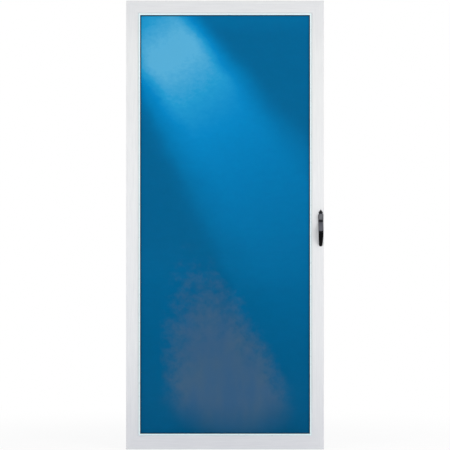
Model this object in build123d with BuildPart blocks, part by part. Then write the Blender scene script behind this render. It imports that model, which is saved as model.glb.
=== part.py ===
"""Full-view storm door: a glazed leaf hinged to a three-sided frame that stands on the wall.

Millimetres, +Z up. X runs along the leaf from its hinges to its handle, and the outdoor
side faces -Y. The origin lies on the wall face of the hinge rail, at mid-height of the leaf.
"""

import os

from build123d import *

# Leaf
leaf_width = 889.0
leaf_height = 2018.0
leaf_depth = 32.0
wall = 1.6
hinge_face = 52.9
latch_face = 52.7
top_face = 54.8
bottom_face = 60.2
leaf_corner_radius = 1.2

# Glazing
glass_thickness = 3.2
glass_setback = 11.0
glass_edge_gap = 3.0
gasket_thickness = 1.5
gasket_width = 11.5
bead_width = 10.0
bead_proud = 1.0
bead_round = 3.0
bead_groove_width = 3.5
bead_groove_depth = 3.0

# Face grooves on the latch stile, measured from its outer edge
face_groove_places = (31.5, 45.0)
face_groove_width = 1.4
face_groove_depth = 0.5

# Sweep under the bottom rail
skirt_depth = 12.0
sweep_base = 3.0
sweep_fin_thickness = 1.5
sweep_fin_pitch = 9.0
sweep_end_gap = 16.0

# Frame rails, standing on the wall behind the leaf
rail_depth = 30.0
rail_inset = 1.0
rail_gap = 7.5
latch_flange = 25.0
latch_lip = 5.0
hinge_leg = 16.0
rail_screw_radius = 2.5
rail_screw_count = 6
rail_screw_from_end = 60.0
head_screw_count = 4

# Hinges
hinge_inset = 12.0
knuckle_radius = 6.0
pin_radius = 2.5
pin_fit = 0.05
hinge_plate = 2.0
hinge_length = 90.0
knuckle_count = 3
knuckle_gap = 0.4
knuckle_clear = 0.5
plate_gap = 0.5
leaf_plate_reach = 30.0
hinge_from_end = 180.0
pin_head_height = 2.5
pin_head_radius = 4.0

# Outside handle, placed by the centre of its button above the bottom of the leaf
button_above_bottom = 1045.5
handle_from_edge = 14.3
plate_tip_above_button = 33.5
plate_shoulder_drop = 13.0
plate_below_button = 132.5
plate_shoulder_width = 18.5
plate_neck_width = 15.0
plate_middle_width = 22.0
plate_bottom_width = 15.0
plate_thickness = 4.0
plate_edge = 1.2
housing_length = 28.0
housing_width = 22.5
housing_height_out = 14.0
housing_corner = 5.0
button_width = 17.0
button_height = 22.0
button_corner = 5.0
button_proud = 8.0
button_travel = 5.0
button_fit = 0.4
button_crown = 1.5
stem_radius = 2.0
stem_fit = 0.5
grip_below_housing = 9.0
grip_length = 106.0
grip_crest_drop = 43.0
grip_reach = 40.0
grip_thickness = 11.0
grip_foot = 15.0
grip_upper_bulge = 5.0
grip_lower_bulge = 6.0
grip_top_width = 22.0
grip_belly_width = 21.5
grip_belly_drop = 62.0
grip_belly_radius = 60.0
grip_bottom_width = 15.0
grip_crest_radius = 12.0
grip_edge = 3.0
grip_inner_drop = 3.0

# Inside latch
case_width = 36.0
case_height = 120.0
case_above_button = 22.0
case_depth = 22.0
case_clear = 5.0
case_edge = 2.5
bolt_out = 2.0
bolt_width = 8.0
bolt_height = 14.0
bolt_from_top = 82.0
lever_hub_radius = 8.0
lever_hub_length = 10.0
lever_width = 14.0
lever_thickness = 8.0
lever_length = 78.0
lever_from_inner = 13.0
lever_from_top = 30.0
strike_thickness = 1.5
strike_length = 60.0
strike_margin = 3.0
strike_slot_length = 18.0
strike_slot_width = 10.0

# Places that follow from the sizes
x_left = -(rail_inset + hinge_inset + knuckle_radius + knuckle_clear + wall) / 2
x_right = x_left + leaf_width
z_bottom = -leaf_height / 2
z_top = leaf_height / 2
y_rear = -rail_depth
y_front = y_rear - leaf_depth
glass_front = y_front + glass_setback
glass_rear = glass_front + glass_thickness
x_pin = x_left + hinge_inset
y_pin = y_rear + knuckle_radius + knuckle_clear
x_web = x_pin + knuckle_radius + knuckle_clear
y_lip = y_rear + rail_gap
side_rail_top = z_top - rail_inset - latch_flange
x_handle = x_right - handle_from_edge
z_button = z_bottom + button_above_bottom
z_housing_bottom = z_button - housing_length / 2

X, Y, Z = Vector(1, 0, 0), Vector(0, 1, 0), Vector(0, 0, 1)

os.makedirs("parts", exist_ok=True)


def write(part, label):
    """Labels a finished piece and writes its file."""
    part.label = label
    export_step(part, f"parts/{label}.step")


def side(start, inward, run, length, face, before, after):
    """One side of the leaf: outer corner, directions, length and the three face widths."""
    return dict(start=start, inward=inward, run=run, length=length, face=face, before=before, after=after)


sides = {
    "hinge": side(
        Vector(x_left, 0, z_bottom), X, Z, leaf_height, hinge_face, bottom_face, top_face
    ),
    "latch": side(
        Vector(x_right, 0, z_top), -X, -Z, leaf_height, latch_face, top_face, bottom_face
    ),
    "top": side(
        Vector(x_left, 0, z_top), -Z, X, leaf_width, top_face, hinge_face, latch_face
    ),
    "bottom": side(
        Vector(x_right, 0, z_bottom), Z, -X, leaf_width, bottom_face, latch_face, hinge_face
    ),
}


def section_plane(start, inward, run):
    """Plane across a bar: its first axis points to the glass, its second indoors."""
    return Plane(origin=start, x_dir=inward, z_dir=run)


def mitre(start, inward, run, length, slope_start, slope_end):
    """Cuts both ends of the bar in the open builder to their mitre planes."""
    split(bisect_by=Plane(origin=start, z_dir=run - inward * slope_start), keep=Keep.TOP)
    end = start + run * length
    split(bisect_by=Plane(origin=end, z_dir=-run - inward * slope_end), keep=Keep.TOP)


def block(low, high, mode=Mode.ADD):
    """Rectangle in the open sketch between two opposite corners."""
    with Locations(((low[0] + high[0]) / 2, (low[1] + high[1]) / 2)):
        Rectangle(high[0] - low[0], high[1] - low[1], mode=mode)


def cut_block(low, high):
    """The same rectangle, taken out of the open sketch."""
    block(low, high, mode=Mode.SUBTRACT)


# Stiles and rails of the leaf: hollow bars, mitred at the corners
for name, s in sides.items():
    hollow_start = skirt_depth + wall if name == "bottom" else wall
    with BuildPart() as bar:
        with BuildSketch(section_plane(s["start"], s["inward"], s["run"])) as section:
            block((0, y_front), (s["face"], y_rear))
            fillet(section.vertices(), leaf_corner_radius)
            cut_block((hollow_start, y_front + wall), (s["face"] - wall, y_rear - wall))
            if name == "bottom":
                cut_block((0, y_front + wall), (skirt_depth, y_rear - wall))
            if name == "latch":
                for place in face_groove_places:
                    cut_block(
                        (place - face_groove_width / 2, y_front),
                        (place + face_groove_width / 2, y_front + face_groove_depth),
                    )
        extrude(amount=s["length"])
        mitre(
            s["start"],
            s["inward"],
            s["run"],
            s["length"],
            s["before"] / s["face"],
            s["after"] / s["face"],
        )
        if name == "latch":
            with BuildSketch(Plane.XZ.offset(-y_rear)):
                with Locations((x_handle, z_button)):
                    Circle(stem_radius + stem_fit)
            extrude(amount=leaf_depth, mode=Mode.SUBTRACT)
    write(bar.part, f"{name}_rail" if name in ("top", "bottom") else f"{name}_stile")


# Glazing beads: snap-in bars round the glass, outside and inside
for name, s in sides.items():
    bead_start = s["start"] + s["inward"] * s["face"] + s["run"] * s["before"]
    bead_length = s["length"] - s["before"] - s["after"]
    bead_plane = section_plane(bead_start, s["inward"], s["run"])
    with BuildPart() as outside_bead:
        with BuildSketch(bead_plane) as section:
            block((0, y_front - bead_proud), (bead_width, glass_front - gasket_thickness))
            inner_edge = section.vertices().sort_by(Axis.Y)[:2].sort_by(Axis.X)[-1]
            fillet(inner_edge, bead_round)
            cut_block((0, y_front - bead_proud), (bead_groove_width, y_front + bead_groove_depth))
        extrude(amount=bead_length)
        mitre(bead_start, s["inward"], s["run"], bead_length, 1, 1)
    write(outside_bead.part, f"outside_bead_{name}")
    with BuildPart() as inside_bead:
        with BuildSketch(bead_plane) as section:
            block((0, glass_rear + gasket_thickness), (bead_width, y_rear))
            cut_block(
                (wall, glass_rear + gasket_thickness + wall), (bead_width - wall, y_rear - wall)
            )
        extrude(amount=bead_length)
        mitre(bead_start, s["inward"], s["run"], bead_length, 1, 1)
    write(inside_bead.part, f"inside_bead_{name}")


# Glass and its gasket
sight_width = leaf_width - hinge_face - latch_face
sight_height = leaf_height - top_face - bottom_face
sight_centre = (x_left + hinge_face + sight_width / 2, z_bottom + bottom_face + sight_height / 2)
glass_size = (sight_width - 2 * glass_edge_gap, sight_height - 2 * glass_edge_gap)

with BuildPart() as glass_pane:
    with BuildSketch(Plane.XZ.offset(-glass_rear)):
        with Locations(sight_centre):
            Rectangle(*glass_size)
    extrude(amount=glass_thickness)
write(glass_pane.part, "glass_pane")

with BuildPart() as glass_gasket:
    with BuildSketch(Plane.XZ.offset(-glass_rear - gasket_thickness)):
        with Locations(sight_centre):
            Rectangle(
                glass_size[0] + 2 * gasket_thickness,
                glass_size[1] + 2 * gasket_thickness,
            )
            Rectangle(
                glass_size[0] - 2 * gasket_width,
                glass_size[1] - 2 * gasket_width,
                mode=Mode.SUBTRACT,
            )
    extrude(amount=glass_thickness + 2 * gasket_thickness)
    with BuildSketch(Plane.XZ.offset(-glass_rear)):
        with Locations(sight_centre):
            Rectangle(*glass_size)
    extrude(amount=glass_thickness, mode=Mode.SUBTRACT)
write(glass_gasket.part, "glass_gasket")


# Sweep: a flexible strip with two fins, in the channel under the bottom rail
with BuildPart() as bottom_sweep:
    with BuildSketch(Plane.YZ.offset(x_left + sweep_end_gap)):
        with Locations((y_rear - leaf_depth / 2, z_bottom + skirt_depth - sweep_base / 2)):
            Rectangle(leaf_depth - 2 * wall, sweep_base)
        with Locations((y_rear - leaf_depth / 2, z_bottom + skirt_depth / 2)):
            with GridLocations(sweep_fin_pitch, 1, 2, 1):
                Rectangle(sweep_fin_thickness, skirt_depth)
    extrude(amount=leaf_width - 2 * sweep_end_gap)
write(bottom_sweep.part, "bottom_sweep")


# Frame rails on the wall: hinge side, latch side and head
x_latch_web = x_right - rail_inset - wall
x_hinge_screws = (x_left + rail_inset + x_web) / 2
x_latch_screws = x_latch_web - (latch_flange - wall) / 2
z_head = z_top - rail_inset
z_head_screws = z_head - (latch_flange + wall) / 2
rail_screw_pitch = (leaf_height - 2 * rail_screw_from_end) / (rail_screw_count - 1)
head_screw_pitch = (leaf_width - 2 * rail_screw_from_end) / (head_screw_count - 1)

with BuildPart() as hinge_rail:
    with BuildSketch(Plane.XY.offset(z_bottom)):
        block((x_left + rail_inset, -wall), (x_web + wall, 0))
        block((x_web, y_lip), (x_web + wall, 0))
        block((x_web, y_lip), (x_web + hinge_leg, y_lip + wall))
    extrude(amount=side_rail_top - z_bottom)
    with BuildSketch(Plane.XZ):
        with Locations((x_hinge_screws, 0)):
            with GridLocations(1, rail_screw_pitch, 1, rail_screw_count):
                Circle(rail_screw_radius)
    extrude(amount=wall, mode=Mode.SUBTRACT)
write(hinge_rail.part, "hinge_rail")

with BuildPart() as latch_rail:
    with BuildSketch(Plane.XY.offset(z_bottom)):
        block((x_right - rail_inset - latch_flange, -wall), (x_right - rail_inset, 0))
        block((x_latch_web, y_lip), (x_right - rail_inset, 0))
        block((x_right - rail_inset - latch_lip, y_lip), (x_right - rail_inset, y_lip + wall))
    extrude(amount=side_rail_top - z_bottom)
    with BuildSketch(Plane.XZ):
        with Locations((x_latch_screws, 0)):
            with GridLocations(1, rail_screw_pitch, 1, rail_screw_count):
                Circle(rail_screw_radius)
    extrude(amount=wall, mode=Mode.SUBTRACT)
write(latch_rail.part, "latch_rail")

with BuildPart() as head_rail:
    with BuildSketch(Plane.YZ.offset(x_web)):
        block((-wall, z_head - latch_flange), (0, z_head))
        block((y_lip, z_head - wall), (0, z_head))
        block((y_lip, z_head - latch_lip), (y_lip + wall, z_head))
    extrude(amount=x_right - rail_inset - x_web)
    with BuildSketch(Plane.XZ):
        with Locations((x_left + leaf_width / 2, z_head_screws)):
            with GridLocations(head_screw_pitch, 1, head_screw_count, 1):
                Circle(rail_screw_radius)
    extrude(amount=wall, mode=Mode.SUBTRACT)
write(head_rail.part, "head_rail")


# Hinges: each has a leaf on the door, a leaf on the hinge rail and a pin
knuckle_pitch = hinge_length / knuckle_count
hinge_places = {
    "lower": z_bottom + hinge_from_end,
    "middle": 0.0,
    "upper": z_top - hinge_from_end,
}


def knuckles(centre, indices):
    """Barrel lengths of one leaf as pairs of bottom height and length."""
    low = centre - hinge_length / 2
    return [
        (low + i * knuckle_pitch + knuckle_gap / 2, knuckle_pitch - knuckle_gap) for i in indices
    ]


for name, centre in hinge_places.items():
    with BuildPart() as door_leaf:
        with BuildSketch(Plane.XY.offset(centre - hinge_length / 2)):
            block(
                (x_web + plate_gap, y_rear),
                (x_pin + leaf_plate_reach, y_rear + hinge_plate),
            )
        extrude(amount=hinge_length)
        for low, length in knuckles(centre, (1,)):
            with BuildSketch(Plane.XY.offset(low)):
                with Locations((x_pin, y_pin)):
                    Circle(knuckle_radius)
                block((x_pin, y_rear), (x_web + plate_gap, y_rear + hinge_plate))
                with Locations((x_pin, y_pin)):
                    Circle(pin_radius + pin_fit, mode=Mode.SUBTRACT)
            extrude(amount=length)
    write(door_leaf.part, f"{name}_door_leaf")
    with BuildPart() as frame_leaf:
        with BuildSketch(Plane.XY.offset(centre - hinge_length / 2)):
            block(
                (x_web - hinge_plate, y_pin + knuckle_radius + plate_gap),
                (x_web, -wall),
            )
        extrude(amount=hinge_length)
        for low, length in knuckles(centre, (0, 2)):
            with BuildSketch(Plane.XY.offset(low)):
                with Locations((x_pin, y_pin)):
                    Circle(knuckle_radius)
                block(
                    (x_web - hinge_plate, y_pin),
                    (x_web, y_pin + knuckle_radius + plate_gap),
                )
                with Locations((x_pin, y_pin)):
                    Circle(pin_radius + pin_fit, mode=Mode.SUBTRACT)
            extrude(amount=length)
    write(frame_leaf.part, f"{name}_frame_leaf")
    with BuildPart() as hinge_pin:
        with BuildSketch(Plane.XY.offset(centre - hinge_length / 2)):
            with Locations((x_pin, y_pin)):
                Circle(pin_radius)
        extrude(amount=hinge_length)
        with BuildSketch(Plane.XY.offset(centre + hinge_length / 2)):
            with Locations((x_pin, y_pin)):
                Circle(pin_head_radius)
        extrude(amount=pin_head_height)
    write(hinge_pin.part, f"{name}_hinge_pin")


# Outside handle: pointed plate with a housing for the button, and a bowed grip
with BuildPart() as handle_plate:
    with BuildSketch(Plane.XZ.offset(-y_front)) as outline:
        with BuildLine():
            z_tip = z_button + plate_tip_above_button
            z_plate_bottom = z_button - plate_below_button
            Polyline(
                (x_handle - plate_neck_width / 2, z_button + housing_length / 2),
                (x_handle - plate_shoulder_width / 2, z_tip - plate_shoulder_drop),
                (x_handle, z_tip),
                (x_handle + plate_shoulder_width / 2, z_tip - plate_shoulder_drop),
                (x_handle + plate_neck_width / 2, z_button + housing_length / 2),
                (x_handle + plate_middle_width / 2, z_housing_bottom),
                (x_handle + plate_bottom_width / 2, z_plate_bottom),
                (x_handle - plate_bottom_width / 2, z_plate_bottom),
                (x_handle - plate_middle_width / 2, z_housing_bottom),
                close=True,
            )
        make_face()
        fillet(outline.vertices().group_by(Axis.Y)[0], plate_bottom_width / 2 - 1)
    extrude(amount=plate_thickness)
    chamfer(faces().sort_by(Axis.Y)[0].edges(), plate_edge)
    with BuildSketch(Plane.XZ.offset(-y_front)):
        with Locations((x_handle, z_button)):
            RectangleRounded(housing_width, housing_length, housing_corner)
    extrude(amount=housing_height_out)
    with BuildSketch(Plane.XZ.offset(-y_front + plate_thickness)):
        with Locations((x_handle, z_button)):
            RectangleRounded(
                button_width + 2 * button_fit, button_height + 2 * button_fit, button_corner + button_fit
            )
    extrude(amount=housing_height_out, mode=Mode.SUBTRACT)
    with BuildSketch(Plane.XZ.offset(-y_front)):
        with Locations((x_handle, z_button)):
            Circle(stem_radius + stem_fit)
    extrude(amount=housing_height_out, mode=Mode.SUBTRACT)
write(handle_plate.part, "handle_plate")

button_back = plate_thickness + button_travel + button_fit
button_front = housing_height_out + button_proud
with BuildPart() as push_button:
    with BuildSketch(Plane.XZ.offset(-y_front + button_back)):
        with Locations((x_handle, z_button)):
            RectangleRounded(button_width, button_height, button_corner)
    extrude(amount=button_front - button_back)
    fillet(faces().sort_by(Axis.Y)[0].edges(), button_crown)
    with BuildSketch(Plane.XZ.offset(-y_front + button_back)):
        with Locations((x_handle, z_button)):
            Circle(stem_radius)
    extrude(amount=-(button_back + leaf_depth))
write(push_button.part, "push_button")

# The grip: a bow whose upper half faces up and out and whose lower half runs back to the plate
y_plate = y_front - plate_thickness
y_crest = y_plate - grip_reach
z_grip_top = z_housing_bottom - grip_below_housing
z_grip_crest = z_grip_top - grip_crest_drop
z_grip_bottom = z_grip_top - grip_length
with BuildPart() as handle_grip:
    with BuildSketch(Plane.YZ.offset(x_handle - grip_top_width)) as bow:
        with BuildLine():
            upper_foot = Line((y_plate, z_grip_top - grip_foot), (y_plate, z_grip_top))
            crest = (y_crest, z_grip_crest)
            inner_crest = (y_crest + grip_thickness, z_grip_crest - grip_inner_drop)
            SagittaArc(upper_foot @ 1, crest, -grip_upper_bulge)
            lower_foot = Line(
                (y_plate, z_grip_bottom), (y_plate, z_grip_bottom + grip_foot)
            )
            SagittaArc(crest, lower_foot @ 0, -grip_lower_bulge)
            SagittaArc(lower_foot @ 1, inner_crest, grip_lower_bulge)
            SagittaArc(inner_crest, upper_foot @ 0, grip_upper_bulge)
        make_face()
        fillet(bow.vertices().sort_by(Axis.X)[0], grip_crest_radius)
        fillet(bow.vertices().sort_by_distance(inner_crest)[0], grip_crest_radius)
    extrude(amount=2 * grip_top_width)
    with BuildSketch(Plane.XZ.offset(-y_plate)) as face:
        with BuildLine():
            Polyline(
                (x_handle - grip_top_width / 2, z_grip_top),
                (x_handle + grip_top_width / 2, z_grip_top),
                (x_handle + grip_belly_width / 2, z_grip_top - grip_belly_drop),
                (x_handle + grip_bottom_width / 2, z_grip_bottom),
                (x_handle - grip_bottom_width / 2, z_grip_bottom),
                (x_handle - grip_belly_width / 2, z_grip_top - grip_belly_drop),
                close=True,
            )
        make_face()
        fillet(face.vertices().group_by(Axis.Y)[1], grip_belly_radius)
    extrude(amount=grip_reach + grip_edge, mode=Mode.INTERSECT)
    fillet(edges().filter_by(GeomType.LINE, reverse=True), grip_edge)
write(handle_grip.part, "handle_grip")


# Inside latch: case on the indoor face of the latch stile, with its bolt and lever
x_case = x_right - rail_inset - latch_lip - case_clear
z_case_top = z_button + case_above_button
with BuildPart() as latch_case:
    with BuildSketch(Plane.XZ.offset(-y_rear)):
        block((x_case - case_width, z_case_top - case_height), (x_case, z_case_top))
    extrude(amount=-case_depth)
    fillet(edges().filter_by(Axis.Y), case_edge)
    chamfer(faces().sort_by(Axis.Y)[-1].edges(), case_edge / 2)
    with BuildSketch(Plane.XZ.offset(-y_rear)):
        with Locations((x_handle, z_button)):
            Circle(stem_radius + stem_fit)
    extrude(amount=-case_depth / 2, mode=Mode.SUBTRACT)
write(latch_case.part, "latch_case")

z_bolt = z_case_top - bolt_from_top
y_bolt = y_rear + case_depth / 2
with BuildPart() as latch_bolt:
    with BuildSketch(Plane.YZ.offset(x_case)):
        with Locations((y_bolt, z_bolt)):
            Rectangle(bolt_width, bolt_height)
    extrude(amount=bolt_out)
    chamfer(faces().sort_by(Axis.X)[-1].edges().sort_by(Axis.Y)[0], bolt_out / 2)
write(latch_bolt.part, "latch_bolt")

x_lever = x_case - case_width + lever_from_inner
z_lever = z_case_top - lever_from_top
y_case = y_rear + case_depth
with BuildPart() as latch_lever:
    with BuildSketch(Plane.XZ.offset(-y_case)):
        with Locations((x_lever, z_lever)):
            Circle(lever_hub_radius)
    extrude(amount=-lever_hub_length)
    with BuildSketch(Plane.XZ.offset(-y_case - lever_hub_length)):
        with Locations((x_lever, z_lever - lever_length / 2 + lever_width / 2)):
            SlotOverall(lever_length, lever_width, rotation=90)
    extrude(amount=-lever_thickness)
    chamfer(faces().sort_by(Axis.Y)[-1].edges(), lever_thickness / 4)
write(latch_lever.part, "latch_lever")

with BuildPart() as strike_plate:
    with BuildSketch(Plane.YZ.offset(x_latch_web - strike_thickness)):
        with Locations((y_lip / 2, z_bolt)):
            Rectangle(-y_lip - 2 * (wall + strike_margin), strike_length)
            Rectangle(strike_slot_width, strike_slot_length, mode=Mode.SUBTRACT)
    extrude(amount=strike_thickness)
write(strike_plate.part, "strike_plate")
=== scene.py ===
"""Looks of the storm door: materials, small fittings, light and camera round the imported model.

Metres, +Z up. X runs along the leaf from its hinges to its handle, outdoors is -Y.
"""

import math

import bmesh
import bpy
from mathutils import Matrix, Vector


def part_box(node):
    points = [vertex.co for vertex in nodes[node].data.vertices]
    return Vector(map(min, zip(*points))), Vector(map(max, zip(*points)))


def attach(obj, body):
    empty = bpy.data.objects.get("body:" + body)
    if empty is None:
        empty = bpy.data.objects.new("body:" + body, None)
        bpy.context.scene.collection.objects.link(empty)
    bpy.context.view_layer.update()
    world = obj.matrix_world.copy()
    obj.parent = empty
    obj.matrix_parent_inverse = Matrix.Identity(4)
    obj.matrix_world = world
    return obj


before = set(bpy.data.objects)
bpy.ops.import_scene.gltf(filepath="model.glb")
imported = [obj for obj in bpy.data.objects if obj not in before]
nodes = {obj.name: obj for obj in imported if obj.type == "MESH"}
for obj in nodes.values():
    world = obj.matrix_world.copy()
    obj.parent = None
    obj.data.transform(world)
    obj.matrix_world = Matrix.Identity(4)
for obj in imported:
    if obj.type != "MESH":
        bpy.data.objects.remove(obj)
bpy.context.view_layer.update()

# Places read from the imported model
leaf_low, leaf_high = Vector(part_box("bottom_rail")[0]), Vector(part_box("top_rail")[1])
leaf_centre = (leaf_low + leaf_high) / 2
leaf_height = leaf_high.z - leaf_low.z
y_front, y_rear = leaf_low.y, leaf_high.y
hinge_heights = ("lower", "middle", "upper")


# Colours and node materials

# Most values of a noise lie between these two
noise_low, noise_high = 0.3, 0.7
# The sockets of a Mix node that hold colours
mix_first, mix_second, mix_result = 6, 7, 2


def tone(red, green, blue):
    """Linear colour with alpha from screen values of 0 to 255."""

    def linear(value):
        share = value / 255
        return share / 12.92 if share <= 0.04045 else ((share + 0.055) / 1.055) ** 2.4

    return (linear(red), linear(green), linear(blue), 1.0)


class Painter:
    """A new node material with short calls for the nodes that it uses."""

    def __init__(self, name):
        self.material = bpy.data.materials.new(name)
        self.material.use_nodes = True
        self.tree = self.material.node_tree
        self.shader = self.tree.nodes["Principled BSDF"]
        coordinates = self.add("ShaderNodeTexCoord")
        self.place, self.facing = coordinates.outputs["Object"], coordinates.outputs["Normal"]

    def add(self, kind, **settings):
        made = self.tree.nodes.new(kind)
        for key, value in settings.items():
            setattr(made, key, value)
        return made

    def link(self, source, target):
        if hasattr(source, "is_output"):
            self.tree.links.new(source, target)
        else:
            target.default_value = source

    def plain(self, **values):
        """Uniform values, set on the shader's own sockets."""
        for key, value in values.items():
            self.shader.inputs[key.replace("_", " ")].default_value = value

    def split(self, vector):
        """The X, Y and Z of a vector."""
        made = self.add("ShaderNodeSeparateXYZ")
        self.link(vector, made.inputs[0])
        return made.outputs[0], made.outputs[1], made.outputs[2]

    def maths(self, operation, first, second=None, third=None):
        made = self.add("ShaderNodeMath", operation=operation)
        for socket, value in zip(made.inputs, (first, second, third)):
            if value is not None:
                self.link(value, socket)
        return made.outputs[0]

    def squared(self, value):
        return self.maths("MULTIPLY", value, value)

    def stretch(self, value, low, high, to_low, to_high, smooth=False):
        """Maps one range onto another, held at its ends."""
        made = self.add("ShaderNodeMapRange", clamp=True)
        if smooth:
            made.interpolation_type = "SMOOTHSTEP"
        for socket, number in zip(made.inputs, (value, low, high, to_low, to_high)):
            self.link(number, socket)
        return made.outputs[0]

    def step(self, value, middle, soft, before=0, after=1):
        """A smooth step, as wide as its softness on each side of the middle."""
        return self.stretch(value, middle - soft, middle + soft, before, after, True)

    def swing(self, noise, low=0, high=1):
        """Spreads most of a noise over a range."""
        return self.stretch(noise, noise_low, noise_high, low, high)

    def noise(self, scale, detail=2.0, rough=0.5, squeeze=(1, 1, 1)):
        mapping = self.add("ShaderNodeMapping")
        self.link(self.place, mapping.inputs["Vector"])
        mapping.inputs["Scale"].default_value = squeeze
        made = self.add("ShaderNodeTexNoise")
        self.link(mapping.outputs[0], made.inputs["Vector"])
        made.inputs["Scale"].default_value = scale
        made.inputs["Detail"].default_value = detail
        made.inputs["Roughness"].default_value = rough
        return made.outputs["Fac"]

    def mix(self, share, first, second, blend="MIX"):
        made = self.add("ShaderNodeMix", data_type="RGBA", blend_type=blend)
        self.link(share, made.inputs["Factor"])
        self.link(first, made.inputs[mix_first])
        self.link(second, made.inputs[mix_second])
        return made.outputs[mix_result]

    def ramp(self, value, stops):
        """Colours along a value of 0 to 1, from (place, colour) pairs."""
        made = self.add("ShaderNodeValToRGB")
        self.link(value, made.inputs["Fac"])
        elements = made.color_ramp.elements
        while len(elements) < len(stops):
            elements.new(0.5)
        for element, (place, colour) in zip(elements, stops):
            element.position = place
            element.color = colour
        return made.outputs["Color"]

    def bump(self, height, strength, distance, normal=None):
        made = self.add("ShaderNodeBump")
        made.inputs["Strength"].default_value = strength
        made.inputs["Distance"].default_value = distance
        self.link(height, made.inputs["Height"])
        if normal is not None:
            self.link(normal, made.inputs["Normal"])
        return made.outputs["Normal"]

    def edges(self, radius):
        """Share of 0 to 1 that is high along the edges of the shape."""
        rounded = self.add("ShaderNodeBevel", samples=4)
        rounded.inputs["Radius"].default_value = radius
        flat = self.add("ShaderNodeNewGeometry").outputs["Normal"]
        dot = self.add("ShaderNodeVectorMath", operation="DOT_PRODUCT")
        self.link(rounded.outputs[0], dot.inputs[0])
        self.link(flat, dot.inputs[1])
        return self.stretch(dot.outputs["Value"], 0.8, 0.98, 1, 0)

    def finish(self, colour=None, roughness=None, normal=None):
        for value, key in ((colour, "Base Color"), (roughness, "Roughness"), (normal, "Normal")):
            if value is not None:
                self.link(value, self.shader.inputs[key])
        return self.material


# White paint and glazing beads

# Painted light and shade on the white, from the bottom of the leaf to its top, darker at both ends: share of
# height and colour
white_with_painted_light_by_height = (
    (0.0, tone(229, 230, 234)),
    (0.1, tone(233, 234, 237)),
    (0.25, tone(238, 239, 241)),
    (0.6, tone(240, 241, 242)),
    (0.88, tone(237, 238, 238)),
    (1.0, tone(228, 229, 231)),
)

# The bead's groove, behind the leaf's face: the depth where its painted shade starts, and its floor, where
# the shade is full
groove_start, groove_floor = 0.0008, 0.002
# Heights above the bottom of the leaf between which the groove's painted shade turns from pale to grey
groove_shade_pale, groove_shade_grey = 0.06, 0.3


def white_paint(name, squeeze):
    """Baked white paint on aluminium: orange peel, faint streaks along the bar, soft dirt, and painted light
    and shade by height.
    """
    p = Painter(name)
    height = p.stretch(p.split(p.place)[2], leaf_low.z, leaf_high.z, 0, 1)
    # Painted light and shade: the white is darker low and high on the leaf
    white_with_painted_light = p.ramp(height, white_with_painted_light_by_height)
    shaded = p.mix(1.0, white_with_painted_light, tone(246, 246, 247), "MULTIPLY")
    streaks = p.noise(160, 3, 0.6, squeeze)
    cloud = p.noise(4.5, 4, 0.55)
    specks = p.noise(900, 2, 0.5)
    colour = p.mix(p.swing(streaks), white_with_painted_light, shaded)
    colour = p.mix(p.stretch(cloud, 0.35, 0.75, 0, 0.4), colour, shaded)
    colour = p.mix(p.stretch(specks, 0.66, 0.8, 0, 0.35), colour, tone(196, 197, 198))
    roughness = p.stretch(p.maths("ADD", cloud, p.noise(260, 2)), 0.7, 1.3, 0.3, 0.46)
    normal = p.bump(p.noise(520, 2, 0.55), 0.10, 0.0006)
    normal = p.bump(streaks, 0.05, 0.0008, normal)
    p.plain(Metallic=0.0, Specular_IOR_Level=0.35, Coat_Weight=0.12, Coat_Roughness=0.22)
    return p.finish(colour, roughness, normal)


def bead_paint():
    """Snap-in glazing bead: smooth bright white with a cool cast, and painted shade in its groove, paler low
    on the leaf.
    """
    p = Painter("glazing_bead")
    depth, height = p.split(p.place)[1:]
    colour = p.mix(p.swing(p.noise(90, 3, 0.6)), tone(238, 255, 255), tone(230, 252, 255))
    colour = p.mix(p.stretch(p.noise(700, 2), 0.68, 0.8, 0, 0.3), colour, tone(196, 211, 218))
    # Painted shade on the groove's floor: grey, paler low on the leaf
    sunk = p.stretch(depth, y_front + groove_start, y_front + groove_floor, 0, 1)
    groove_shade_by_height = p.stretch(height, leaf_low.z + groove_shade_pale, leaf_low.z + groove_shade_grey, 0, 1)
    colour = p.mix(sunk, colour, p.mix(groove_shade_by_height, tone(233, 236, 242), tone(214, 219, 222)))
    roughness = p.swing(p.noise(60, 3), 0.24, 0.4)
    p.plain(Specular_IOR_Level=0.8)
    return p.finish(colour, roughness, p.bump(p.noise(420, 2), 0.08, 0.0005))


# Blue glass

# Light painted into the glass's colour: a fan from a point above the upper left corner, and a
# fainter, wider one round it. Each edge is an angle from straight down with its softness,
# in degrees. The fan starts at a reach from that point, is full at another and fades past it.
fan_x = leaf_low.x - 0.588
fan_z = leaf_high.z + 0.996
fan_left, fan_right = (26.05, 3.83), (38.96, 2.52)
glow_left, glow_right = (24.78, 1.0), (40.97, 1.26)
fan_wander = 0.008
fan_start, fan_start_soft = 1.264, 0.27
fan_full, fan_fade = 1.459, 0.486
glow_share, glow_fade = 0.096, 2.07

# Painted light on the rest of the glass: how light it is at the top and at the bottom of the pane, which lie
# this far inside the leaf's, and what painted bands of light at the top and the lower left add to that
glass_top_level, glass_bottom_level = 0.25, 0.035
glass_top, glass_bottom = 0.065, 0.072
glass_rim_level, glass_rim_start, glass_rim_end = 0.07, 0.17, 0.07
glass_left_level, glass_left_start, glass_left_end = 0.07, 0.15, 0.40
glass_left_full, glass_left_top = 0.70, 1.05

# Colour of the glass at each level of painted light
glass_by_level = (
    (0.0, tone(0, 87, 130)),
    (0.25, tone(0, 110, 163)),
    (0.5, tone(0, 133, 196)),
    (0.65, tone(2, 147, 212)),
    (0.8, tone(38, 168, 221)),
    (1.0, tone(97, 190, 230)),
)

# Painted grey reflection low on the glass, its outline a soft parabola that leans to the handle
patch_top = leaf_low.z + 0.662
patch_x, patch_lean, patch_spread = leaf_low.x + 0.356, 0.240, 0.150
patch_soft, patch_share, patch_ragged = 0.036, 0.75, 0.018
patch_bottom, patch_bottom_soft, patch_round = leaf_low.z + 0.112, 0.12, 1.53


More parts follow.
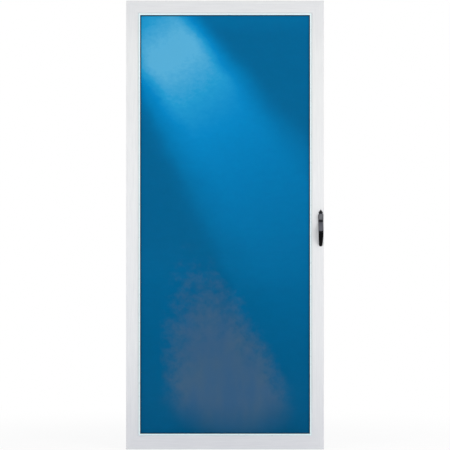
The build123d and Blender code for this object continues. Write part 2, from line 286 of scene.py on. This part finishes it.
def fan_of_light(p, x, z, coarse):
    """Shares of 0 to 1 that the fan and its glow have at a point of the pane."""
    across = p.maths("SUBTRACT", x, fan_x)
    down = p.maths("SUBTRACT", fan_z, z)
    straight = p.maths("ARCTAN2", across, down)
    angle = p.maths("ADD", straight, p.swing(coarse, -fan_wander, fan_wander))
    reach = p.maths("SQRT", p.maths("ADD", p.squared(across), p.squared(down)))
    past = p.maths("MAXIMUM", p.maths("SUBTRACT", reach, fan_full), 0.0)

    def wedge(left, right):
        inside = p.step(angle, *map(math.radians, left))
        outside = p.step(angle, *map(math.radians, right), 1, 0)
        return p.maths("MULTIPLY", inside, outside)

    def painted_highlight(length):
        return p.maths("EXPONENT", p.maths("MULTIPLY", past, -1 / length))

    start = p.step(reach, fan_start, fan_start_soft)
    fan = p.maths("MULTIPLY", wedge(fan_left, fan_right), p.maths("MULTIPLY", start, painted_highlight(fan_fade)))
    glow = p.maths("MULTIPLY", wedge(glow_left, glow_right), painted_highlight(glow_fade))
    return fan, glow


def glass_level(p, x, z, coarse):
    """How light the glass is, from 0 to 1: painted fall-off down the pane, painted fan and glow of light,
    and grain.
    """
    low = p.stretch(z, leaf_high.z - glass_top, leaf_low.z + glass_bottom, 0, 1)
    base = p.maths("MULTIPLY_ADD", p.squared(low), glass_bottom_level - glass_top_level, glass_top_level)
    rim_start, rim_end = leaf_high.z - glass_rim_start, leaf_high.z - glass_rim_end
    base = p.maths("ADD", base, p.stretch(z, rim_start, rim_end, 0, glass_rim_level, True))
    left_start, left_end = leaf_low.x + glass_left_start, leaf_low.x + glass_left_end
    left = p.stretch(x, left_start, left_end, glass_left_level, 0, True)
    lower = p.stretch(z, leaf_low.z + glass_left_full, leaf_low.z + glass_left_top, 1, 0, True)
    base = p.maths("MULTIPLY_ADD", left, lower, base)
    fan, glow = fan_of_light(p, x, z, coarse)
    level = p.maths("MULTIPLY_ADD", p.maths("SUBTRACT", 1.0, base), fan, base)
    level = p.maths("MULTIPLY_ADD", glow, glow_share, level)
    grain = p.noise(30, 5, 0.62, (0.8, 1, 1.4))
    level = p.maths("ADD", level, p.stretch(grain, 0.25, 0.75, -0.022, 0.022))
    mottle = p.swing(p.noise(55, 4, 0.7, (0.8, 1, 1.2)), -0.045, 0.045)
    return p.maths("MULTIPLY_ADD", mottle, fan, level)


def painted_reflection_patch(p, x, z):
    """Share of 0 to patch_share that the painted grey reflection has at a point of the pane."""
    drop = p.maths("SUBTRACT", patch_top, z)
    off = p.maths("SUBTRACT", x, p.maths("MULTIPLY_ADD", drop, patch_lean, patch_x))
    shape = p.maths("SUBTRACT", p.maths("MULTIPLY", drop, patch_spread), p.squared(off))
    ragged = p.stretch(p.noise(26, 3, 0.6), 0.25, 0.75, -patch_ragged, patch_ragged)
    patch = p.step(p.maths("ADD", shape, ragged), 0, patch_soft, 0, patch_share)
    rounded = p.maths("SUBTRACT", z, p.maths("MULTIPLY", p.squared(off), patch_round))
    return p.maths("MULTIPLY", patch, p.step(rounded, patch_bottom, patch_bottom_soft))


def tinted_glass():
    """Blue glass with a painted fan of light across it, painted fall-off down it and a painted grey
    reflection low down.
    """
    p = Painter("blue_glass")
    x, _, z = p.split(p.place)
    coarse = p.noise(7, 3, 0.5)
    colour = p.ramp(glass_level(p, x, z, coarse), glass_by_level)
    streaks = p.noise(13, 3, 0.5, (1, 1, 0.35))
    # Colours of the painted grey reflection
    grey = p.mix(p.stretch(streaks, 0.35, 0.65, 0, 1), tone(73, 109, 147), tone(86, 114, 141))
    colour = p.mix(painted_reflection_patch(p, x, z), colour, grey)
    p.plain(IOR=1.2, Specular_IOR_Level=0.03, Transmission_Weight=0.3)
    return p.finish(colour, p.swing(coarse, 0.05, 0.11), p.bump(coarse, 0.02, 0.001))


# Vinyl, handle, plated steel and pile

# The button's housing has a painted grey highlight on its face: how far out of the leaf that starts and is
# full
highlight_start, highlight_full = 0.009, 0.0135
worn_edge_radius = 0.0008


def soft_vinyl(name, colour, second, squeeze):
    """Extruded vinyl: fine ribs along the strip and a dusty bloom."""
    p = Painter(name)
    ribs = p.noise(700, 2, 0.5, squeeze)
    bloom = p.noise(22, 4, 0.6)
    shade = p.mix(p.stretch(bloom, 0.35, 0.7, 0, 1), colour, second)
    p.plain(Specular_IOR_Level=0.12)
    return p.finish(shade, p.swing(bloom, 0.5, 0.72), p.bump(ribs, 0.3, 0.0004))


def handle_black(name, colour, second, painted_highlight, worn, highlight_depths=None):
    """Satin black casting: fine grain, a painted grey highlight where it faces up and on the outer face
    between the given depths, rubbed along its edges.
    """
    p = Painter(name)
    rub = p.noise(60, 4, 0.6)
    shade = p.mix(p.stretch(rub, 0.35, 0.7, 0, 1), colour, second)
    # Painted highlight: grey on faces that look up
    upward = p.maths("ADD", p.split(p.facing)[2], p.swing(rub, -0.06, 0.06))
    shade = p.mix(p.stretch(upward, 0.2, 0.5, 0, 1, True), shade, painted_highlight)
    # Painted highlight on the outer face, where depths are given
    if highlight_depths:
        shade = p.mix(p.stretch(p.split(p.place)[1], *highlight_depths, 0, 1, True), shade, painted_highlight)
    shade = p.mix(p.stretch(p.noise(420, 3, 0.7), 0.62, 0.76, 0, 0.35), shade, worn)
    edge_wear = p.maths("MULTIPLY", p.edges(worn_edge_radius), p.stretch(rub, 0.4, 0.65, 0.1, 0.8))
    shade = p.mix(edge_wear, shade, worn)
    p.plain(Specular_IOR_Level=0.07)
    return p.finish(shade, p.swing(rub, 0.3, 0.46), p.bump(p.noise(1300, 3, 0.6), 0.22, 0.0003))


def plated_steel(name, light, dark, squeeze):
    """Zinc plating: spangle, fine drawing lines and darker handling marks."""
    p = Painter(name)
    lines = p.noise(900, 3, 0.6, squeeze)
    spangle = p.add("ShaderNodeTexVoronoi")
    p.link(p.place, spangle.inputs["Vector"])
    spangle.inputs["Scale"].default_value = 260
    grey = p.mix(p.swing(lines), light, dark)
    grey = p.mix(p.stretch(p.noise(40, 4), 0.45, 0.75, 0, 0.5), grey, dark)
    grey = p.mix(p.stretch(spangle.outputs["Distance"], 0.0, 0.9, 0, 0.35), grey, light)
    roughness = p.stretch(p.maths("ADD", lines, p.noise(70, 3)), 0.7, 1.3, 0.28, 0.5)
    p.plain(Metallic=1.0)
    return p.finish(grey, roughness, p.bump(lines, 0.12, 0.0003))


def pile(name):
    """Grey brushed pile of the weatherstrip."""
    p = Painter(name)
    tufts = p.noise(1500, 2, 0.6)
    shade = p.mix(p.swing(tufts), tone(92, 93, 95), tone(142, 143, 145))
    p.plain(Specular_IOR_Level=0.1, Sheen_Weight=0.3)
    return p.finish(shade, p.swing(tufts, 0.8, 0.95), p.bump(tufts, 0.6, 0.001))


# The materials and where they go

# Streaks are drawn out along an upright bar or a level one
along_upright, along_level, unstretched = (1, 1, 0.04), (0.04, 1, 1), (1, 1, 1)

paint_upright = white_paint("white_paint_upright", along_upright)
paint_level = white_paint("white_paint_level", along_level)
bead = bead_paint()
glass = tinted_glass()
# The gasket's dark teal is partly its own dark vinyl and partly painted shade on the glass along its edge
gasket = soft_vinyl("gasket_with_painted_edge_shade", tone(0, 50, 74), tone(6, 60, 86), unstretched)
sweep = soft_vinyl("black_sweep", tone(34, 35, 37), tone(56, 57, 60), (0.02, 1, 1))
housing = handle_black(
    "handle_housing",
    colour=tone(34, 34, 37),
    second=tone(44, 44, 48),
    painted_highlight=tone(98, 99, 105),
    worn=tone(84, 84, 89),
    highlight_depths=(y_front - highlight_start, y_front - highlight_full),
)
casting = handle_black(
    "handle_black",
    colour=tone(2, 2, 3),
    second=tone(6, 6, 7),
    painted_highlight=tone(97, 98, 105),
    worn=tone(60, 60, 64),
)
button_grey = handle_black(
    "button_grey",
    colour=tone(96, 97, 102),
    second=tone(122, 123, 127),
    painted_highlight=tone(132, 133, 138),
    worn=tone(150, 151, 155),
)
zinc = plated_steel("zinc_plate", tone(196, 198, 202), tone(150, 152, 158), (1, 1, 0.05))
screw_steel = plated_steel("screw_steel", tone(206, 208, 212), tone(158, 160, 166), unstretched)
brush = pile("weatherstrip_pile")

material_of = {
    "hinge_stile": paint_upright,
    "latch_stile": paint_upright,
    "top_rail": paint_level,
    "bottom_rail": paint_level,
    "hinge_rail": paint_upright,
    "latch_rail": paint_upright,
    "head_rail": paint_level,
    "glass_pane": glass,
    "glass_gasket": gasket,
    "bottom_sweep": sweep,
    "handle_plate": housing,
    "handle_grip": casting,
    "push_button": button_grey,
    "latch_case": casting,
    "latch_lever": casting,
    "latch_bolt": zinc,
    "strike_plate": zinc,
    "inside_bead_hinge": paint_upright,
    "inside_bead_latch": paint_upright,
    "inside_bead_top": paint_level,
    "inside_bead_bottom": paint_level,
}
for side in ("hinge", "latch", "top", "bottom"):
    material_of[f"outside_bead_{side}"] = bead
for height in hinge_heights:
    for piece in ("door_leaf", "frame_leaf", "hinge_pin"):
        material_of[f"{height}_{piece}"] = zinc

# Softened edges of the solids, and the nodes that have a size of their own or none
edge_width, edge_angle = 0.0005, 35
edge_width_of = {"handle_plate": 0.0003, "push_button": 0.0002, "glass_pane": 0.0004}
unbevelled = {"handle_grip", "glass_gasket"}

for name, node in nodes.items():
    if not node.data.materials:
        node.data.materials.append(None)
    for slot in node.material_slots:
        slot.material = material_of[name]
    if name not in unbevelled:
        soften = node.modifiers.new("edges", "BEVEL")
        soften.width = edge_width_of.get(name, edge_width)
        soften.segments = 2
        soften.limit_method = "ANGLE"
        soften.angle_limit = math.radians(edge_angle)
        soften.harden_normals = True


def mesh_piece(name, build, material, body, smooth=35):
    """A new piece from a bmesh builder, riding its body."""
    bm = bmesh.new()
    build(bm)
    bmesh.ops.recalc_face_normals(bm, faces=bm.faces)
    mesh = bpy.data.meshes.new(name)
    bm.to_mesh(mesh)
    bm.free()
    mesh.materials.append(material)
    for polygon in mesh.polygons:
        polygon.use_smooth = True
    piece = bpy.data.objects.new(name, mesh)
    bpy.context.scene.collection.objects.link(piece)
    mesh.set_sharp_from_angle(angle=math.radians(smooth))
    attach(piece, body)
    return piece


# Screws

# A screw's head: steps round it, and its outline as shares of its radius and height
head_steps = 24
head_outline = ((1, 0), (1, 0.45), (0.88, 0.8), (0.62, 1))
shank_radius, shank_depth = 0.6, 0.002
# The cross recess: its reach and half its slot as shares of the radius, how far it narrows
# to its floor, and the floor's height as a share of the head's
recess_reach, recess_slot, recess_taper, recess_floor = 0.62, 0.16, 0.7, 0.35
# How much further each screw of a set is turned than the one before, in radians
turn_step = 0.7
# Vertices that are nearer in height than this are level
same_height = 1e-7

# Each kind of screw: radius and height of its head
rail_screw = (0.0038, 0.0022)
hinge_screw = (0.0034, 0.0018)
case_screw = (0.0036, 0.0018)
strike_screw = (0.0030, 0.0012)

outdoors, indoors, to_hinges = (0, -1, 0), (0, 1, 0), (-1, 0, 0)


def turned(bm, profile):
    """Adds a round wall from (radius, height) pairs about +Z, open at both ends."""
    angles = [2 * math.pi * i / head_steps for i in range(head_steps)]
    rings = []
    for radius, height in profile:
        rings.append([bm.verts.new((radius * math.cos(a), radius * math.sin(a), height)) for a in angles])
    for low, high in zip(rings, rings[1:]):
        for i in range(head_steps):
            j = (i + 1) % head_steps
            bm.faces.new((low[i], low[j], high[j], high[i]))


def ring_at(bm, height):
    """The vertices at one height, in order round +Z."""
    ring = [v for v in bm.verts if abs(v.co.z - height) < same_height]
    return sorted(ring, key=lambda v: math.atan2(v.co.y, v.co.x))


def recess_corners(radius, height):
    """The twelve corners of a cross, in order round +Z."""
    reach, slot = radius * recess_reach, radius * recess_slot
    corners = []
    for quarter in range(4):
        arm = Matrix.Rotation(quarter * math.pi / 2, 3, "Z")
        corners += [arm @ Vector((x, y, height)) for x, y in ((slot, -slot), (reach, -slot), (reach, slot))]
    return sorted(corners, key=lambda v: math.atan2(v.y, v.x))


def screw(bm, place, outward, radius, height, turn):
    """A cross-recess screw head standing on a face that looks outward."""
    head = bmesh.new()
    outline = [(radius * out, height * up) for out, up in head_outline]
    turned(head, [(radius * shank_radius, -shank_depth)] + outline)
    rim = ring_at(head, height)
    corners = recess_corners(radius, height)
    top = [head.verts.new(v) for v in corners]
    sunk_height = height * recess_floor
    sunk = [head.verts.new((v.x * recess_taper, v.y * recess_taper, sunk_height)) for v in corners]
    count = len(top)
    share = len(rim) // count
    for i in range(count):
        j = (i + 1) % count
        head.faces.new((top[i], top[j], sunk[j], sunk[i]))
        arc = [rim[(i * share + k) % len(rim)] for k in range(share + 1)]
        head.faces.new(arc + [top[j], top[i]])
    head.faces.new(sunk)
    head.faces.new(ring_at(head, -shank_depth))
    aim = Vector(outward).to_track_quat("Z", "Y").to_matrix().to_4x4()
    head.transform(Matrix.Translation(place) @ aim @ Matrix.Rotation(turn, 4, "Z"))
    copy = bpy.data.meshes.new("head")
    head.to_mesh(copy)
    head.free()
    bm.from_mesh(copy)
    bpy.data.meshes.remove(copy)


def screws(name, places, outward, size, body):
    """Several screw heads that face one way, as one piece."""

    def build(bm):
        for i, place in enumerate(places):
            screw(bm, Vector(place), outward, *size, turn_step * i)

    mesh_piece(name, build, screw_steel, body)


def evenly(first, last, count):
    """Evenly spaced places from the first to the last."""
    return [first + i * (last - first) / (count - 1) for i in range(count)]


# Screws through the flanges of the three wall rails, in the holes of the solids
rail_wall = 0.0016
rail_flange = 0.025
rail_screw_from_end = 0.060
side_screw_count, head_screw_count = 6, 4

hinge_rail_low, hinge_rail_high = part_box("hinge_rail")
latch_rail_low, latch_rail_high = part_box("latch_rail")
head_rail_low, head_rail_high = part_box("head_rail")
hinge_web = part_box("lower_frame_leaf")[1].x
x_hinge_screws = (hinge_rail_low.x + hinge_web) / 2
x_latch_screws = latch_rail_high.x - (rail_flange + rail_wall) / 2
z_head_screws = head_rail_high.z - (rail_flange + rail_wall) / 2
screw_heights = evenly(leaf_low.z + rail_screw_from_end, leaf_high.z - rail_screw_from_end, side_screw_count)
head_places = evenly(leaf_low.x + rail_screw_from_end, leaf_high.x - rail_screw_from_end, head_screw_count)
rail_screw_places = {
    "hinge_rail_screws": [(x_hinge_screws, -rail_wall, z) for z in screw_heights],
    "latch_rail_screws": [(x_latch_screws, -rail_wall, z) for z in screw_heights],
    "head_rail_screws": [(x, -rail_wall, z_head_screws) for x in head_places],
}
for name, places in rail_screw_places.items():
    screws(name, places, outdoors, rail_screw, "root")

# Screws in the hinge leaves, beside the knuckles and spread up the plate
hinge_plate = 0.002
hinge_screw_aside = 0.006
hinge_screw_shares = (0.16, 0.5, 0.84)
for height in hinge_heights:
    low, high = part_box(f"{height}_door_leaf")
    x_plate, length = (low.x + high.x) / 2 + hinge_screw_aside, high.z - low.z
    places = [(x_plate, y_rear + hinge_plate, low.z + share * length) for share in hinge_screw_shares]
    screws(f"{height}_door_leaf_screws", places, indoors, hinge_screw, "door")

# Screws of the latch case and of the strike, near their ends
case_screw_from_end, strike_screw_from_end = 0.010, 0.008
case_low, case_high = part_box("latch_case")
x_case = (case_low.x + case_high.x) / 2
case_ends = (case_low.z + case_screw_from_end, case_high.z - case_screw_from_end)
screws("latch_case_screws", [(x_case, case_high.y, z) for z in case_ends], indoors, case_screw, "door")
strike_low, strike_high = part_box("strike_plate")
y_strike = (strike_low.y + strike_high.y) / 2
strike_ends = (strike_low.z + strike_screw_from_end, strike_high.z - strike_screw_from_end)
screws("strike_screws", [(strike_low.x, y_strike, z) for z in strike_ends], to_hinges, strike_screw, "root")


# Weatherstrips

pile_height, pile_width, hinge_pile_width = 0.0066, 0.0042, 0.0048
# How far the middle of a strip lies from the high edge of its rail, in X or Z
pile_from_edge, hinge_pile_from_edge = 0.0025, 0.006
pile_end_gap, pile_hinge_gap = 0.001, 0.004
tuft_pitch = 0.004
# The strip's shoulders as shares of its width and height, and how much its rows wander
shoulder_out, shoulder_up = 0.34, 0.55
wobbles = ((0.0003, 2.3), (0.0002, 5.1))


def strip(bm, start, direction, length, width_axis, width, height_axis, height):
    """Brushed pile along a lip: a low backing and rows of slightly uneven tufts."""
    steps = max(2, int(length / tuft_pitch))
    rows = []
    for i in range(steps + 1):
        at = start + direction * (length * i / steps)
        wobble = sum(size * math.sin(i * rate) for size, rate in wobbles)
        half, shoulder = width_axis * width / 2, width_axis * (width * shoulder_out)
        ring = [
            at - half,
            at - shoulder + height_axis * (height * shoulder_up + wobble),
            at + height_axis * (height + wobble) + width_axis * wobble,
            at + shoulder + height_axis * (height * shoulder_up - wobble),
            at + half,
        ]
        rows.append([bm.verts.new(v) for v in ring])
    for first, second in zip(rows, rows[1:]):
        for k in range(len(first)):
            m = (k + 1) % len(first)
            bm.faces.new((first[k], first[m], second[m], second[k]))
    bm.faces.new(rows[0])
    bm.faces.new(list(reversed(rows[-1])))


def hinge_gaps():
    """Stretches of the hinge rail between its hinges, as pairs of heights."""
    ends = [hinge_rail_low.z]
    for height in hinge_heights:
        low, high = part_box(f"{height}_door_leaf")
        ends += [low.z - pile_hinge_gap, high.z + pile_hinge_gap]
    ends.append(hinge_rail_high.z)
    return list(zip(ends[0::2], ends[1::2]))


def pile_strips(bm):
    """Weatherstrips on the outdoor faces of the three lips, just clear of the leaf."""
    y_lip = latch_rail_low.y
    up, along, out = Vector((0, 0, 1)), Vector((1, 0, 0)), Vector((0, -1, 0))
    latch_start = Vector((latch_rail_high.x - pile_from_edge, y_lip, latch_rail_low.z))
    latch_length = latch_rail_high.z - latch_rail_low.z
    strip(bm, latch_start, up, latch_length, along, pile_width, out, pile_height)
    x_hinge = hinge_rail_high.x - hinge_pile_from_edge
    for z_from, z_to in hinge_gaps():
        start = Vector((x_hinge, y_lip, z_from))
        strip(bm, start, up, z_to - z_from, along, hinge_pile_width, out, pile_height)
    head_start = Vector((head_rail_low.x + pile_end_gap, y_lip, head_rail_high.z - pile_from_edge))
    head_length = head_rail_high.x - head_rail_low.x - 2 * pile_end_gap
    strip(bm, head_start, along, head_length, up, pile_width, out, pile_height)


mesh_piece("weatherstrips", pile_strips, brush, "root", smooth=50)


# Floor and world

floor_radius = 30.0
floor_gap = 0.0005
# The floor seen by the camera turns to plain white from near the door outwards
floor_fade_start, floor_fade_end, floor_fade_least = 0.7, 2.4, 0.86
ambient_strength = 0.55
white = (1.0, 1.0, 1.0, 1.0)


def pale_floor():
    """Pale floor that keeps a soft shadow near the object and is plain white further off."""
    p = Painter("pale_floor")
    p.plain(Specular_IOR_Level=0.1)
    dust = p.noise(3, 4, 0.6)
    p.finish(p.mix(p.swing(dust), tone(250, 250, 250), tone(245, 245, 245)), p.swing(dust, 0.7, 0.85))
    spread = p.add("ShaderNodeVectorMath", operation="LENGTH")
    p.link(p.place, spread.inputs[0])
    far = p.stretch(spread.outputs["Value"], floor_fade_start, floor_fade_end, floor_fade_least, 1, True)
    seen = p.add("ShaderNodeLightPath").outputs["Is Camera Ray"]
    glow = p.add("ShaderNodeEmission")
    glow.inputs["Strength"].default_value = 1.0
    blend = p.add("ShaderNodeMixShader")
    p.link(p.maths("MULTIPLY", far, seen), blend.inputs[0])
    p.link(p.shader.outputs[0], blend.inputs[1])
    p.link(glow.outputs[0], blend.inputs[2])
    p.link(blend.outputs[0], p.tree.nodes["Material Output"].inputs["Surface"])
    return p.material


def studio_world():
    """Even light, with plain white where the camera, a reflection or the glass sees it."""
    world = bpy.data.worlds.new("studio")
    bpy.context.scene.world = world
    world.use_nodes = True
    tree = world.node_tree
    tree.nodes.clear()
    rays = tree.nodes.new("ShaderNodeLightPath")
    seen = rays.outputs["Is Camera Ray"]
    for kind in ("Is Glossy Ray", "Is Transmission Ray"):
        either = tree.nodes.new("ShaderNodeMath")
        either.operation = "MAXIMUM"
        tree.links.new(seen, either.inputs[0])
        tree.links.new(rays.outputs[kind], either.inputs[1])
        seen = either.outputs[0]
    join = tree.nodes.new("ShaderNodeMixShader")
    tree.links.new(seen, join.inputs[0])
    for socket, strength in ((join.inputs[1], ambient_strength), (join.inputs[2], 1.0)):
        light = tree.nodes.new("ShaderNodeBackground")
        light.inputs["Color"].default_value = white
        light.inputs["Strength"].default_value = strength
        tree.links.new(light.outputs[0], socket)
    out = tree.nodes.new("ShaderNodeOutputWorld")
    tree.links.new(join.outputs[0], out.inputs["Surface"])


floor_mesh = bpy.data.meshes.new("floor")
floor_bm = bmesh.new()
bmesh.ops.create_circle(floor_bm, cap_ends=True, segments=96, radius=floor_radius)
floor_bm.to_mesh(floor_mesh)
floor_bm.free()
floor = bpy.data.objects.new("floor", floor_mesh)
floor.location = (leaf_centre.x, leaf_centre.y, leaf_low.z - floor_gap)
bpy.context.scene.collection.objects.link(floor)
floor_mesh.materials.append(pale_floor())
studio_world()


# Lamps and camera

# Each lamp: name, place, size and power in watts. All are aimed at the middle of the leaf
lamps = (
    ("key", (2.8, -3.5, 1.4), 2.4, 54),
    ("fill", (-1.9, -3.6, 0.8), 1.8, 34),
    ("behind", (2.7, 3.6, 2.2), 2.4, 60),
)

# The camera looks square at the leaf. The photograph's width and its leaf's height, in
# pixels, give the width of the view at the leaf's face. The sensor's width is in millimetres
view_distance = 10.0
photo_width, photo_leaf_height = 450, 448.9
view_width = leaf_height * photo_width / photo_leaf_height
sensor_width = 36.0
clip_distance = 100.0


def softbox(name, place, size, power):
    """Square area lamp aimed at the middle of the leaf."""
    data = bpy.data.lights.new(name, "AREA")
    data.shape = "SQUARE"
    data.size = size
    data.energy = power
    lamp = bpy.data.objects.new(name, data)
    lamp.location = place
    aim = leaf_centre - Vector(place)
    lamp.rotation_euler = aim.to_track_quat("-Z", "Y").to_euler()
    bpy.context.scene.collection.objects.link(lamp)


for lamp in lamps:
    softbox(*lamp)

camera_data = bpy.data.cameras.new("camera")
camera_data.type = "PERSP"
camera_data.sensor_width = sensor_width
camera_data.lens = sensor_width * view_distance / view_width
camera_data.clip_end = clip_distance
camera = bpy.data.objects.new("camera", camera_data)
camera.location = (leaf_centre.x, y_front - view_distance, leaf_centre.z)
camera.rotation_euler = (math.radians(90), 0, 0)
bpy.context.scene.collection.objects.link(camera)
bpy.context.scene.camera = camera
bpy.context.scene.view_settings.view_transform = "Standard"
